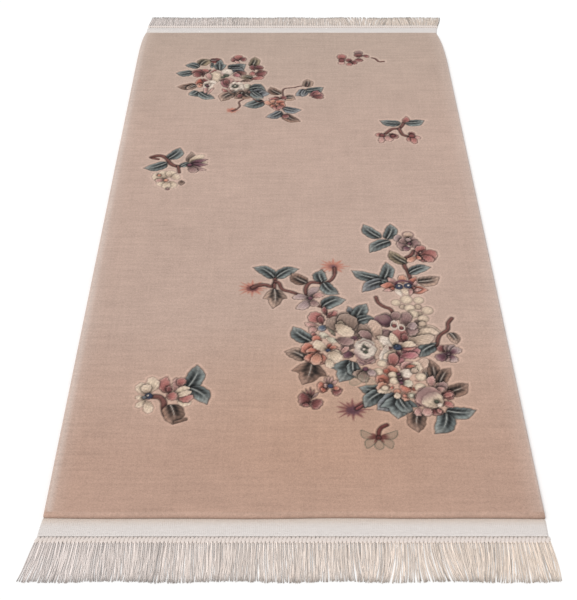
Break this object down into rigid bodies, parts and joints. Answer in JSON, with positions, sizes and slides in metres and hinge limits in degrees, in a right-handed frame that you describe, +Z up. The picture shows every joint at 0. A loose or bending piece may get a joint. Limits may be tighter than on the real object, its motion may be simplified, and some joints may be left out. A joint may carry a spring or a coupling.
{
  "type": "oriental rug",
  "caption": "Carved wool pile rug with floral sprays, a flat-woven cotton end and a knotted fringe at each end.",
  "frame": {"origin": "middle of the pile field, on its underside", "axes": "+Y along the rug towards its far end, +X across it to the right, +Z up out of the pile"},
  "size_m": [0.9401, 2.0924, 0.016],
  "materials": {
    "wool_pile": "short cut wool pile, matt with a soft sheen",
    "cotton_warp": "unbleached cotton, flat-woven ends and plied warp yarns"
  },
  "bodies": {
    "root": {"rug_body": "wool_pile", "fringe_near": "cotton_warp", "fringe_far": "cotton_warp"}
  },
  "joints": []
}
